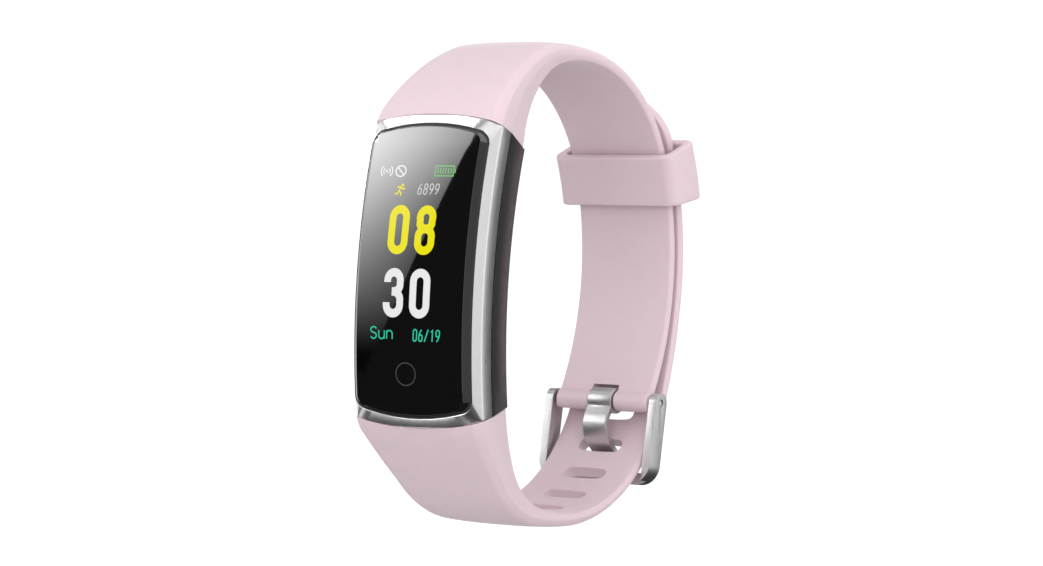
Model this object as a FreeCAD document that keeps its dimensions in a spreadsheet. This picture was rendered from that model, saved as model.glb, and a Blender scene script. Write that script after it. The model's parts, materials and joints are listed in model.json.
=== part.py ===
import FreeCAD, Part
import math
import os
import re
import Sketcher

# Fitness tracker band, in millimetres.
# +Z runs up along the display, the display faces -Y and +X runs across the strap.
# The origin is the centre of the wrist opening.
# Side profiles lie in the YZ plane: each strap's inner face is a chain of tangent arcs.

Vector = FreeCAD.Vector
Rotation = FreeCAD.Rotation
X_AXIS = Vector(1, 0, 0)
Y_AXIS = Vector(0, 1, 0)

DIMENSIONS = [
    # tracker case: the sections are curved about one line parallel to X
    ("curve_centre", 65.1), ("curve_sweep", 29.0),
    ("joint_back", -17.0), ("joint_height", 16.4), ("joint_tilt", 16.4), ("joint_radius", 47.0),
    ("joint_gap", 0.05), ("glass_inset", 1.2), ("window_inset", 2.6), ("case_wall", 1.3),
    ("glass_front", -28.8), ("glass_rim", -28.15), ("glass_back", -27.3),
    ("glass_flat", 8.1), ("glass_half", 8.9), ("rim_gap", 0.05),
    ("bezel_front", -28.3), ("bezel_lip", -28.1), ("bezel_ridge", -26.9), ("bezel_back", -24.6),
    ("bezel_crown", 5.5), ("bezel_lip_half", 8.95), ("bezel_half", 9.6), ("bezel_back_half", 9.35),
    ("bezel_floor", -27.2), ("window_half", 8.0),
    ("case_front", -24.5), ("case_back", -18.4), ("case_front_half", 9.34), ("case_back_half", 7.0),
    ("cavity_front_half", 8.1), ("cavity_back_half", 6.3), ("cover_front", -19.3), ("cover_half", 6.25),
    ("gasket_half", 8.9), ("gasket_inner", 8.3),
    # neck under each strap, and the charging blade under the lower one
    ("neck_half", 6.9), ("neck_depth", 4.2), ("neck_length", 2.8), ("neck_rise", 3.7), ("neck_root", 1.2),
    ("blade_half", 6.0), ("blade_thick", 2.0), ("blade_length", 6.6), ("blade_root", 3.4), ("blade_rise", 3.0),
    ("blade_lean", 8.0),
    ("contact_wide", 1.2), ("contact_pitch", 2.5), ("contact_thick", 0.12), ("contact_long", 3.2),
    # case screws
    ("screw_x", 5.1), ("screw_z", 13.2), ("screw_head", 0.9), ("screw_head_high", 0.5),
    ("screw_shank", 0.5), ("screw_long", 2.6), ("boss_radius", 1.6), ("screw_gap", 0.05),
    # heart-rate sensor
    ("dome_radius", 5.2), ("dome_back", -17.4), ("sensor_window_radius", 4.2), ("sensor_window_back", -17.0),
    ("sensor_bore", 3.6), ("sensor_seat", 0.6),
    # inside the case
    ("display_half", 6.7), ("display_front", -25.7), ("display_back", -24.75),
    ("display_low", -11.2), ("display_high", 14.4), ("tray_back", -24.2),
    ("touch_radius", 2.6), ("touch_z", -12.75), ("touch_front", -25.95), ("touch_thick", 0.12),
    ("board_half", 6.9), ("board_front", -23.6), ("board_thick", 0.7), ("board_low", -14.2), ("board_high", 14.6),
    ("battery_half", 5.6), ("battery_front", -22.3), ("battery_back", -20.2), ("battery_low", -9.6),
    ("battery_high", 6.6), ("tape_thick", 0.15), ("lead_radius", 0.35),
    ("motor_radius", 3.0), ("motor_z", 11.4), ("motor_front", -22.5), ("motor_back", -20.2),
    ("motor_skin", 0.2), ("motor_pin", 0.4), ("motor_gap", 0.05),
    # strap sections: widths and depths at the case and along the thin part
    ("strap_thick", 1.8), ("strap_half", 7.3), ("taper_length", 22.0), ("taper_power", 2.1),
    ("turn_length", 14.0), ("socket_gap", 0.06),
    # upper strap: arcs of the inner face, from the case to the spring bar
    ("upper_heading", -0.5), ("upper_r_crown", 12.5), ("upper_r_turn", 8.2), ("upper_r_top", 19.4),
    ("upper_r_back", 37.0), ("upper_a_crown", 47.0), ("upper_a_turn", 26.0), ("upper_a_top", 84.0),
    ("upper_a_back", 46.4),
    # lower strap: the same, ending on a circle concentric with the upper strap's back
    ("lower_heading", 9.91), ("lower_r_root", 25.0), ("lower_r_turn", 8.8), ("lower_r_bottom", 21.08),
    ("lower_r_buckle", 62.0), ("lower_a_root", 16.79), ("lower_a_turn", 47.94), ("lower_a_bottom", 90.87),
    ("lower_a_buckle", 12.57), ("layer_gap", 0.2), ("lower_a_back", 26.2), ("tip_length", 8.6), ("tip_round", 6.5),
    ("slot_first", 25.4), ("slot_pitch", 5.05), ("slot_half", 3.3), ("slot_radius", 1.05), ("slot_count", 11.0),
    # buckle, on a spring bar at the upper strap's end
    ("bar_angle", -24.5), ("tube_end_radius", 1.35), ("tube_end_half", 7.25), ("notch_half", 2.05),
    ("bar_radius", 0.65), ("bar_bore", 0.45), ("bar_half", 6.6), ("bar_gap", 0.07),
    ("tip_radius", 0.4), ("tip_inner", 4.6), ("tip_outer", 8.6), ("pin_gap", 0.05),
    ("spring_wire", 0.09), ("spring_radius", 0.3), ("spring_turns", 9.0), ("spring_half", 4.5),
    ("frame_half", 8.75), ("frame_arm", 1.13), ("frame_deep", 2.5), ("frame_reach", 10.7), ("frame_bar", 1.5),
    ("frame_bar_deep", 1.15), ("frame_corner", 2.6), ("frame_inner_corner", 0.6), ("frame_lean", -4.5),
    ("frame_rest_half", 2.15), ("frame_rest_deep", 0.8),
    ("prong_half", 1.85), ("prong_thick", 0.75), ("prong_eye", 1.7), ("notch_radius", 2.1),
    # keeper around both layers
    ("keeper_gap", 0.3), ("keeper_wall", 1.25), ("keeper_slack", 0.8), ("keeper_low", 16.05),
    ("keeper_sweep", 10.7),
]

doc = FreeCAD.newDocument("fitness_tracker_band")
sheet = doc.addObject("Spreadsheet::Sheet", "dims")
for row, (alias, value) in enumerate(DIMENSIONS, start=1):
    sheet.set(f"A{row}", alias)
    sheet.set(f"B{row}", str(value))
    sheet.setAlias(f"B{row}", alias)
doc.recompute()

nodes = []


def formula(text):
    """Every alias holds an underscore, so each such word is a cell of the sheet."""
    return re.sub(r"\b[a-z]+(?:_[a-z]+)+\b", r"dims.\g<0>", str(text))


def number(text):
    """The value of a formula, or of one alias."""
    return float(sheet.evalExpression(formula(text)))


def link(item, prop, text):
    item.setExpression(prop, formula(text))


def place(item, corner):
    for axis, text in zip("xyz", corner):
        link(item, f"Placement.Base.{axis}", text)
    return item


def node(item, label):
    """Name an object as one finished piece of the tracker."""
    item.Label = label
    nodes.append(item)
    return item


# ---------------------------------------------------------------- primitives and booleans

def block(name, half, front, back, low, high):
    """A box centred across the strap, between formulas for its other four faces."""
    item = doc.addObject("Part::Box", name)
    link(item, "Length", f"2 * ({half})")
    link(item, "Width", f"({back}) - ({front})")
    link(item, "Height", f"({high}) - ({low})")
    return place(item, (f"-({half})", front, low))


def rod(name, axis, radius, length, start):
    """A cylinder along +X, +Y or +Z from its start point."""
    item = doc.addObject("Part::Cylinder", name)
    link(item, "Radius", radius)
    link(item, "Height", length)
    item.Placement.Rotation = {"x": Rotation(Y_AXIS, 90), "y": Rotation(X_AXIS, -90), "z": Rotation()}[axis]
    return place(item, start)


def fuse(name, items):
    item = doc.addObject("Part::MultiFuse", name)
    item.Shapes = items
    return item


def cut(name, base, tools):
    item = doc.addObject("Part::Cut", name)
    item.Base = base
    item.Tool = tools[0] if len(tools) == 1 else fuse(name + "_tools", tools)
    return item


def common(name, items):
    item = doc.addObject("Part::MultiCommon", name)
    item.Shapes = items
    return item


def turned(item, centre, angle):
    """Turn an object about a line along X through centre; angle and centre are numbers."""
    turn = FreeCAD.Placement(Vector(0, 0, 0), Rotation(X_AXIS, angle), centre)
    item.Placement = turn.multiply(item.Placement)
    return item


def outline(name, corners):
    """A closed sketch of straight sides in the XY plane, each corner held by two formulas."""
    sketch = doc.addObject("Sketcher::SketchObject", name)
    points = [Vector(number(x), number(y), 0) for x, y in corners]
    for start, end in zip(points, points[1:] + points[:1]):
        sketch.addGeometry(Part.LineSegment(start, end), False)
    for index, (corner, point) in enumerate(zip(corners, points)):
        following = (index + 1) % len(points)
        sketch.addConstraint(Sketcher.Constraint("Coincident", index, 2, following, 1))
        for kind, text, value in zip(("DistanceX", "DistanceY"), corner, point):
            held = sketch.addConstraint(Sketcher.Constraint(kind, -1, 1, index, 1, value))
            link(sketch, f"Constraints[{held}]", text)
    return sketch


def mirrored(corners):
    """Close a section from its right-hand corners, listed front to back."""
    return corners + [(f"-({x})", y) for x, y in reversed(corners)]


def curved_slab(name, corners):
    """A mirrored section swept round the case's centre of curvature."""
    item = doc.addObject("Part::Revolution", name)
    item.Source = outline(name + "_section", mirrored(corners))
    item.Axis = X_AXIS
    item.Solid = True
    item.Symmetric = True
    link(item, "Angle", "curve_sweep")
    link(item, "Base.y", "curve_centre")
    return item


def end_curves(name, inset):
    """Two slanted cylinders whose common part is bounded by the case's two rounded ends."""
    ends = []
    for label, side in (("top", 1), ("bottom", -1)):
        tilt = side * number("joint_tilt")
        item = doc.addObject("Part::Cylinder", f"{name}_{label}")
        link(item, "Radius", f"joint_radius - ({inset})")
        item.Height = 60
        inward = Vector(0, -math.sin(math.radians(abs(tilt))), -side * math.cos(math.radians(tilt)))
        rim = Vector(0, number("joint_back"), side * number("joint_height"))
        along = Rotation(X_AXIS, 90 - tilt)
        item.Placement = FreeCAD.Placement(rim + inward * number("joint_radius"), along)
        item.Placement.Base = item.Placement.Base - along.multVec(Vector(0, 0, 30))
        ends.append(item)
    return ends


# ---------------------------------------------------------------- side profiles of the straps

def walk(start, heading, arcs, length, side):
    """Point, heading and outward direction at a length along a chain of tangent arcs.

    The heading is measured from +Z for the upper strap and from -Z for the lower one,
    positive towards +Y. An arc is (radius, degrees); radius None is a straight of that length.
    """
    y, z = start
    turn = math.radians(heading)
    left = length
    for radius, amount in arcs:
        if radius is None:
            step = min(left, amount)
            y, z = y + step * math.sin(turn), z + side * step * math.cos(turn)
        else:
            step = min(left, radius * math.radians(amount))
            centre = (y + radius * math.cos(turn), z - side * radius * math.sin(turn))
            turn += step / radius
            y, z = centre[0] - radius * math.cos(turn), centre[1] + side * radius * math.sin(turn)
        left -= step
        if left <= 1e-9:
            break
    return y, z, turn


def chain_length(arcs):
    return sum(amount if radius is None else radius * math.radians(amount) for radius, amount in arcs)


def arc_list(strap, names):
    return [(number(f"{strap}_r_{name}"), number(f"{strap}_a_{name}")) for name in names]


CASE_CORNER = (number("joint_back"), number("joint_height"))
UPPER = {"start": CASE_CORNER, "heading": number("upper_heading"), "side": 1,
         "arcs": arc_list("upper", ("crown", "turn", "top", "back"))}
_, _, UPPER_TURN = walk(UPPER["start"], UPPER["heading"], UPPER["arcs"], 999, 1)
UPPER_END = walk(UPPER["start"], UPPER["heading"], UPPER["arcs"], 999, 1)
BACK_CENTRE = Vector(0, UPPER_END[0] + number("upper_r_back") * math.cos(UPPER_TURN),
                     UPPER_END[1] - number("upper_r_back") * math.sin(UPPER_TURN))
LAYER_RADIUS = number("upper_r_back + strap_thick + layer_gap")
LOWER = {"start": (CASE_CORNER[0], -CASE_CORNER[1]), "heading": number("lower_heading"), "side": -1,
         "arcs": arc_list("lower", ("root", "turn", "bottom", "buckle"))
         + [(LAYER_RADIUS, number("lower_a_back")), (None, number("tip_length"))]}
for strap in (UPPER, LOWER):
    strap["length"] = chain_length(strap["arcs"])


def on_back(radius, angle):
    """A point at a radius and an angle above +Y about the centre of the straps' back."""
    turn = math.radians(angle)
    return BACK_CENTRE + Vector(0, radius * math.cos(turn), radius * math.sin(turn))


BAR = on_back(number("upper_r_back + strap_thick / 2"), number("bar_angle"))


def strap_frame(strap, length):
    """Inner-face point and outward direction at a length; near the case it leans to the joint plane."""
    y, z, turn = walk(strap["start"], strap["heading"], strap["arcs"], length, strap["side"])
    lean = math.radians(number("joint_tilt") - strap["heading"]) * max(0.0, 1 - length / number("turn_length"))
    outward = Vector(0, -math.cos(turn + lean), strap["side"] * math.sin(turn + lean))
    return Vector(0, y, z), outward


# section corners as (half width, depth): at the case joint, and along the thin strap
ROOT_SECTION = [(7.0, 0.0), (9.3, 6.0), (9.58, 8.4), (8.95, 9.5), (4.5, 9.75)]
THIN_SECTION = [(7.0, 0.0), (7.22, 0.35), (7.3, 0.75), (6.75, 1.55), (3.4, 1.8)]


def strap_section(strap, length):
    """The strap's closed outline across its run at a length from the case."""
    point, outward = strap_frame(strap, length)
    share = max(0.0, 1 - length / number("taper_length")) ** number("taper_power")
    pinch = 1.0
    from_tip = strap["length"] - length
    if strap is LOWER and from_tip < number("tip_round"):
        pinch = math.sqrt(max(0.0, 1 - (1 - from_tip / number("tip_round")) ** 2))
    corners = []
    for root, thin in zip(ROOT_SECTION, THIN_SECTION):
        half, depth = (share * a + (1 - share) * b for a, b in zip(root, thin))
        corners.append((half * pinch, depth))
    ring = corners + [(-half, depth) for half, depth in reversed(corners)]
    points = [point + X_AXIS * half + outward * depth for half, depth in ring]
    return Part.makePolygon(points + points[:1])


def strap_shape(strap, stations):
    return Part.makeLoft([strap_section(strap, length) for length in stations], True, False)


def even(first, last, count):
    return [first + (last - first) * step / (count - 1) for step in range(count)]


# ---------------------------------------------------------------- tracker case

def build_case():
    ends = end_curves("case_end", "0")
    glass_ends = end_curves("glass_end", "glass_inset")
    pocket_ends = end_curves("pocket_end", "glass_inset - rim_gap")
    window_ends = end_curves("window_end", "window_inset")
    cavity_ends = end_curves("cavity_end", "case_wall")

    glass = curved_slab("glass_slab", [("glass_flat", "glass_front"), ("glass_half", "glass_rim"),
                                       ("glass_half", "glass_back")])
    node(common("glass", [glass] + glass_ends), "cover_glass")

    ledge = curved_slab("glue_slab", [("glass_half", "glass_back"), ("glass_half", "bezel_floor")])
    inner = curved_slab("glue_inner", [("window_half", "glass_front"), ("window_half", "bezel_back")])
    glue = common("glue_blank", [ledge] + glass_ends)
    window = common("window_hole", [inner] + window_ends)
    node(cut("glue", glue, [window]), "lens_adhesive")

    outer = curved_slab("bezel_slab", [("bezel_crown", "bezel_front"), ("bezel_lip_half", "bezel_lip"),
                                       ("bezel_half", "bezel_ridge"), ("bezel_back_half", "bezel_back")])
    pocket = curved_slab("pocket_slab", [("bezel_lip_half", "glass_front - 1"), ("bezel_lip_half", "bezel_floor")])
    well = curved_slab("well_slab", [("window_half", "glass_front"), ("window_half", "bezel_back + 1")])
    hole = common("bezel_hole", [well] + window_ends)
    recess = common("bezel_recess", [pocket] + pocket_ends)
    node(cut("bezel_ring", common("bezel_blank", [outer] + ends), [recess, hole]), "bezel")

    seal = curved_slab("seal_slab", [("gasket_half", "bezel_back + 0.01"), ("gasket_half", "case_front - 0.01")])
    seal_hole = curved_slab("seal_hole", [("gasket_inner", "bezel_back - 1"), ("gasket_inner", "case_front + 1")])
    seal_ends = end_curves("seal_end", "case_wall - 0.5")
    node(cut("seal", common("seal_blank", [seal] + seal_ends), [common("seal_void", [seal_hole] + cavity_ends)]),
         "case_gasket")

    shell = curved_slab("case_slab", [("case_front_half", "case_front"), ("case_back_half", "case_back")])
    cavity = curved_slab("cavity_slab", [("cavity_front_half", "case_front - 1"),
                                         ("cavity_front_half", "case_front"),
                                         ("cavity_back_half", "cover_front"), ("cavity_back_half", "case_back + 1")])
    void = common("case_void", [cavity] + cavity_ends)
    shell = common("case_blank", [shell] + ends)
    walls = cut("case_walls", shell, [void])
    bosses = [rod(f"boss_{i}", "y", "boss_radius", "2.6", (f"{x} * screw_x", "cover_front - 2.6", f"{z} * screw_z"))
              for i, (x, z) in enumerate(four_corners())]
    necks = [neck("neck_top", 1, "neck_half", "neck_depth / 2", "neck_length"),
             neck("neck_bottom", -1, "neck_half", "neck_depth / 2", "neck_length")]
    boss_holes = [rod(f"boss_hole_{i}", "y", "screw_shank + screw_gap", "3", (f"{x} * screw_x", "cover_front - 2.9",
                                                                  f"{z} * screw_z"))
                  for i, (x, z) in enumerate(four_corners())]
    slit = neck("blade_slit", -1, "blade_half + rim_gap", "blade_thick / 2 + rim_gap", "blade_length", 3.6)
    body = fuse("case_solid", [walls] + bosses + necks)
    node(cut("case_shell", body, boss_holes + [slit]), "case_body")
    build_back_cover(cavity_ends)


def four_corners():
    return [(x, z) for x in (-1, 1) for z in (-1, 1)]


def neck(name, side, half, half_depth, length, root=None):
    """A block standing out of the case's end, square to the joint plane unless it is a blade."""
    item = doc.addObject("Part::Box", name)
    start = number("neck_root") if root is None else root
    link(item, "Length", f"2 * ({half})")
    link(item, "Width", f"2 * ({half_depth})")
    link(item, "Height", f"({length}) + {start}")
    if side > 0:
        item.Placement.Base = Vector(-number(half), -number(half_depth), -start)
    else:
        item.Placement.Base = Vector(-number(half), -number(half_depth), -number(length))
    item.Placement = end_seat(side, name.startswith("blade")).multiply(item.Placement)
    return item


def end_seat(side, blade):
    """Where a neck or the blade leaves the case's end, and which way it points."""
    kind = "blade_rise" if blade else "neck_rise"
    lean = number("blade_lean") if blade else 0.0
    return FreeCAD.Placement(joint_point(side, number(kind)),
                             Rotation(X_AXIS, -side * (number("joint_tilt") + lean)))


def joint_point(side, depth):
    """A point on the joint plane at a depth outward from the case's back corner."""
    tilt = math.radians(number("joint_tilt"))
    rim = Vector(0, number("joint_back"), side * number("joint_height"))
    return rim + Vector(0, -math.cos(tilt), side * math.sin(tilt)) * depth


def build_back_cover(cavity_ends):
    plate = curved_slab("cover_slab", [("cover_half", "cover_front"), ("cover_half", "case_back")])
    cover_ends = end_curves("cover_end", "case_wall + rim_gap")
    plate = common("cover_blank", [plate] + cover_ends)
    dome = rod("cover_dome", "y", "dome_radius", "dome_back - cover_front", (0, "cover_front", 0))
    heads = [rod(f"head_seat_{i}", "y", "screw_head + screw_gap", "3",
                 (f"{x} * screw_x", "case_back - screw_head_high + 0.75", f"{z} * screw_z"))
             for i, (x, z) in enumerate(four_corners())]
    holes = [rod(f"cover_hole_{i}", "y", "screw_shank + screw_gap", "4",
                 (f"{x} * screw_x", "cover_front - 1", f"{z} * screw_z"))
             for i, (x, z) in enumerate(four_corners())]
    seat = rod("window_seat", "y", "sensor_window_radius + rim_gap", "2", (0, "dome_back - sensor_seat", 0))
    bore = rod("sensor_hole", "y", "sensor_bore", "4", (0, "cover_front - 1", 0))
    node(cut("cover", fuse("cover_solid", [plate, dome]), heads + holes + [seat, bore]), "back_cover")

    screws = []
    for i, (x, z) in enumerate(four_corners()):
        head = rod(f"screw_head_{i}", "y", "screw_head", "screw_head_high",
                   (f"{x} * screw_x", "case_back - screw_head_high + 0.76", f"{z} * screw_z"))
        shank = rod(f"screw_shank_{i}", "y", "screw_shank", "screw_long + 0.01",
                    (f"{x} * screw_x", "case_back - screw_head_high + 0.77 - screw_long", f"{z} * screw_z"))
        drive = rod(f"screw_drive_{i}", "y", "screw_shank / 1.4", "1",
                    (f"{x} * screw_x", "case_back + 0.51", f"{z} * screw_z"))
        screws.append(cut(f"screw_{i}", fuse(f"screw_solid_{i}", [head, shank]), [drive]))
    node(fuse("screws", screws), "case_screws")

    window = rod("window_disc", "y", "sensor_window_radius", "sensor_window_back - dome_back + sensor_seat - 0.02",
                 (0, "dome_back - sensor_seat + 0.02", 0))
    node(window, "sensor_window")


# ---------------------------------------------------------------- inside the case

def build_electronics():
    node(block("display_block", "display_half", "display_front", "display_back", "display_low", "display_high"),
         "display_panel")
    node(block("tray_block", "display_half + 0.2", "display_back + 0.03", "tray_back", "display_low - 0.2",
               "display_high + 0.2"), "display_backlight")
    pad = rod("touch_disc", "y", "touch_radius", "touch_thick", (0, "touch_front", "touch_z"))
    tail = block("touch_tail", "0.8", "touch_front", "touch_front + touch_thick", "touch_z - 2.45", "touch_z")
    drop = block("touch_drop", "0.8", "touch_front", "board_front - 0.05", "touch_z - 2.45", "touch_z - 2.33")
    node(fuse("touch", [pad, tail, drop]), "touch_electrode")

    ribbon = block("flex_drop", "2.6", "display_front + 0.4", "board_front - 0.05", "display_low - 0.75",
                   "display_low - 0.65")
    tab = block("flex_tab", "2.6", "display_front + 0.4", "display_front + 0.5", "display_low - 0.75",
                "display_low - 0.03")
    foot = block("flex_foot", "2.6", "board_front - 0.17", "board_front - 0.05", "display_low - 0.75",
                 "display_low + 2.0")
    node(fuse("flex", [ribbon, tab, foot]), "display_flex")

    board = block("board_block", "board_half", "board_front", "board_front + board_thick", "board_low", "board_high")
    node(board, "main_board")
    rear = "board_front + board_thick + 0.02"
    front = "board_front - 0.02"
    chips = (
        ("processor_chip", (-6.3, -1.7), (rear, f"{rear} + 0.55"), (-13.9, -10.2)),
        ("accelerometer_chip", (1.2, 3.4), (rear, f"{rear} + 0.6"), (-13.6, -11.6)),
        ("bluetooth_antenna", (4.2, 6.4), (f"{front} - 0.45", front), (12.4, 14.2)),
        ("touch_chip", (-6.2, -3.8), (f"{front} - 0.4", front), (-13.9, -12.4)),
    )
    for label, (left, right), (near, far), (low, high) in chips:
        chip = doc.addObject("Part::Box", label + "_body")
        chip.Length = right - left
        link(chip, "Width", f"({far}) - ({near})")
        chip.Height = high - low
        node(place(chip, (left, near, low)), label)

    node(block("battery_block", "battery_half", "battery_front", "battery_back", "battery_low", "battery_high"),
         "battery")
    node(block("tape_block", "battery_half - 0.6", "battery_front - tape_thick - 0.02", "battery_front - 0.02",
               "battery_low + 1", "battery_high - 1"), "battery_tape")
    leads = []
    for i, x in enumerate((-1.1, 1.1)):
        leads.append(rod(f"lead_{i}", "z", "lead_radius", "1.4", (x, "battery_front + 0.5", "battery_high + 0.02")))
    node(fuse("leads", leads), "battery_leads")

    depth = "motor_back - motor_front"
    can = rod("motor_outer", "y", "motor_radius", depth, (0, "motor_front", "motor_z"))
    room = rod("motor_room", "y", "motor_radius - motor_skin", f"{depth} - 2 * motor_skin",
               (0, "motor_front + motor_skin", "motor_z"))
    node(cut("motor_shell", can, [room]), "motor_can")
    pin_length = f"{depth} - 2 * motor_skin - 0.04"
    node(rod("motor_axle", "y", "motor_pin", pin_length, (0, "motor_front + motor_skin + 0.02", "motor_z")),
         "motor_shaft")
    hub = rod("rotor_hub", "y", "1.1", f"{depth} - 2 * motor_skin - 0.3", (0, "motor_front + motor_skin + 0.15",
                                                                          "motor_z"))
    disc = rod("rotor_disc", "y", "motor_radius - motor_skin - 0.25", f"{depth} - 2 * motor_skin - 0.3",
               (0, "motor_front + motor_skin + 0.15", "motor_z"))
    lower_half = block("rotor_half", "motor_radius", "motor_front", "motor_back", "motor_z - 4", "motor_z")
    bore = rod("rotor_bore", "y", "motor_pin + motor_gap", "5", (0, "motor_front - 1", "motor_z"))
    weight = common("rotor_weight", [disc, lower_half])
    node(cut("rotor", fuse("rotor_solid", [hub, weight]), [bore]), "motor_rotor")


def build_sensor():
    node(rod("sensor_disc", "y", "sensor_bore - 0.1", "0.5", (0, "battery_back + 0.1", 0)), "sensor_board")
    top = "battery_back + 0.62"
    leds = []
    for i, z in enumerate((-1.9, 1.9)):
        led = doc.addObject("Part::Box", f"led_{i}")
        led.Length, led.Width, led.Height = 1.2, 0.5, 1.0
        leds.append(place(led, (-0.6, top, f"{z} - 0.5")))
    node(fuse("leds", leds), "sensor_leds")
    diode = doc.addObject("Part::Box", "diode")
    diode.Length, diode.Width, diode.Height = 1.8, 0.5, 1.3
    node(place(diode, (-0.9, top, -0.65)), "photodiode")
    ring = rod("baffle_disc", "y", "sensor_bore - 0.1", "0.9", (0, top, 0))
    wells = [block("well_mid", "1.1", "battery_back", "battery_back + 3", "-0.85", "0.85"),
             block("well_low", "0.8", "battery_back", "battery_back + 3", "-2.6", "-1.25"),
             block("well_high", "0.8", "battery_back", "battery_back + 3", "1.25", "2.6")]
    node(cut("baffle", ring, wells), "sensor_baffle")


def build_blade():
    node(neck("blade", -1, "blade_half", "blade_thick / 2", "blade_length", number("blade_root")), "charging_blade")
    pads = []
    for i in range(4):
        pad = doc.addObject("Part::Box", f"contact_{i}")
        link(pad, "Length", "contact_wide")
        link(pad, "Width", "contact_thick")
        link(pad, "Height", "contact_long")
        pad.Placement.Base = Vector((i - 1.5) * number("contact_pitch") - number("contact_wide") / 2,
                                    -number("blade_thick") / 2 - number("contact_thick") - 0.01,
                                    -number("blade_length") + 0.4)
        pad.Placement = end_seat(-1, True).multiply(pad.Placement)
        pads.append(pad)
    node(fuse("contacts", pads), "charging_contacts")


# ---------------------------------------------------------------- straps

def feature(name, shape):
    item = doc.addObject("Part::Feature", name)
    item.Shape = shape
    return item


def build_straps():
    ends = end_curves("strap_end", "-joint_gap")
    stops = common("strap_stop", ends)
    for name, strap, side in (("upper", UPPER, 1), ("lower", LOWER, -1)):
        strap["socket"] = neck(f"{name}_socket", side, "neck_half + socket_gap", "neck_depth / 2 + socket_gap",
                               "neck_length + socket_gap")
        strap["root"] = root_block(name, side)

    upper_loft = feature("upper_loft", strap_shape(UPPER, even(0.6, 24, 14) + even(29, UPPER["length"], 9)))
    tube = rod("tube_end", "x", "tube_end_radius", "2 * tube_end_half", ("-tube_end_half", BAR.y, BAR.z))
    bore = rod("tube_bore", "x", "bar_radius + pin_gap", "2 * tube_end_half + 2", ("-tube_end_half - 1", BAR.y, BAR.z))
    notch = rod("tube_notch", "x", "notch_radius", "2 * notch_half", ("-notch_half", BAR.y, BAR.z))
    upper = fuse("upper_solid", [upper_loft, UPPER["root"], tube])
    node(cut("upper", upper, [stops, UPPER["socket"], bore, notch]), "upper_strap")

    tip = [LOWER["length"] - back for back in (6.5, 4.5, 2.8, 1.4, 0.5, 0.12)]
    lower_loft = feature("lower_loft", strap_shape(LOWER, even(0.6, 24, 14) + even(29, 79, 16) + tip))
    blade = neck("blade_socket", -1, "blade_half + 0.15", "blade_thick / 2 + contact_thick + 0.15",
                 "blade_length + 0.15")
    slots = [slot(i) for i in range(int(number("slot_count")))]
    lower = fuse("lower_solid", [lower_loft, LOWER["root"]])
    node(cut("lower", lower, [stops, LOWER["socket"], blade] + slots), "lower_strap")


def root_block(name, side):
    """The first stretch of a strap, drawn back past the joint so that the case's ends trim it."""
    rings = []
    for back in (3.0, 0.0):
        tilt = math.radians(number("joint_tilt"))
        away = Vector(0, -math.sin(tilt), -side * math.cos(tilt)) * back
        point, outward = strap_frame(UPPER if side > 0 else LOWER, 0.0)
        ring = ROOT_SECTION + [(-half, depth) for half, depth in reversed(ROOT_SECTION)]
        points = [point + away + X_AXIS * half + outward * depth for half, depth in ring]
        rings.append(Part.makePolygon(points + points[:1]))
    rings.append(strap_section(UPPER if side > 0 else LOWER, 0.6))
    return feature(f"{name}_root", Part.makeLoft(rings, True, True))


def slot(index):
    """An obround hole through the lower strap, square to its face."""
    length = number("slot_first") + index * number("slot_pitch")
    point, outward = strap_frame(LOWER, length)
    turn = Rotation(Vector(0, 0, 1), outward)
    radius, half = number("slot_radius"), number("slot_half")
    middle = doc.addObject("Part::Box", f"slot_middle_{index}")
    link(middle, "Length", "2 * (slot_half - slot_radius)")
    link(middle, "Width", "2 * slot_radius")
    middle.Height = 4
    middle.Placement.Base = Vector(radius - half, -radius, -1)
    parts = [middle]
    for x in (radius - half, half - radius):
        end = doc.addObject("Part::Cylinder", f"slot_end_{index}_{x > 0}")
        link(end, "Radius", "slot_radius")
        end.Height = 4
        end.Placement.Base = Vector(x, 0, -1)
        parts.append(end)
    for part in parts:
        part.Placement = FreeCAD.Placement(point, turn).multiply(part.Placement)
    return fuse(f"slot_{index}", parts)


# ---------------------------------------------------------------- buckle and keeper

def build_spring_bar():
    tube = rod("bar_outer", "x", "bar_radius", "2 * bar_half", ("-bar_half", BAR.y, BAR.z))
    hole = rod("bar_hole", "x", "bar_bore", "2 * bar_half + 2", ("-bar_half - 1", BAR.y, BAR.z))
    node(cut("bar_tube", tube, [hole]), "spring_bar_tube")
    for side, label in ((-1, "left"), (1, "right")):
        start = "tip_inner" if side > 0 else "-tip_outer"
        pin = rod(f"tip_{label}", "x", "tip_radius", "tip_outer - tip_inner", (start, BAR.y, BAR.z))
        node(pin, f"spring_bar_tip_{label}")
    node(feature("coil", coil_shape()), "spring_bar_spring")


def coil_shape():
    """The compression spring between the two tips, inside the tube."""
    half, radius = number("spring_half"), number("spring_radius")
    pitch = 2 * half / number("spring_turns")
    path = Part.makeHelix(pitch, 2 * half, radius)
    ring = Part.Wire(Part.makeCircle(number("spring_wire"), Vector(radius, 0, 0), Y_AXIS))
    coil = Part.Wire(path.Edges).makePipeShell([ring], True, True)
    coil.Placement = FreeCAD.Placement(Vector(-half, BAR.y, BAR.z), Rotation(Y_AXIS, 90))
    return coil


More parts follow.
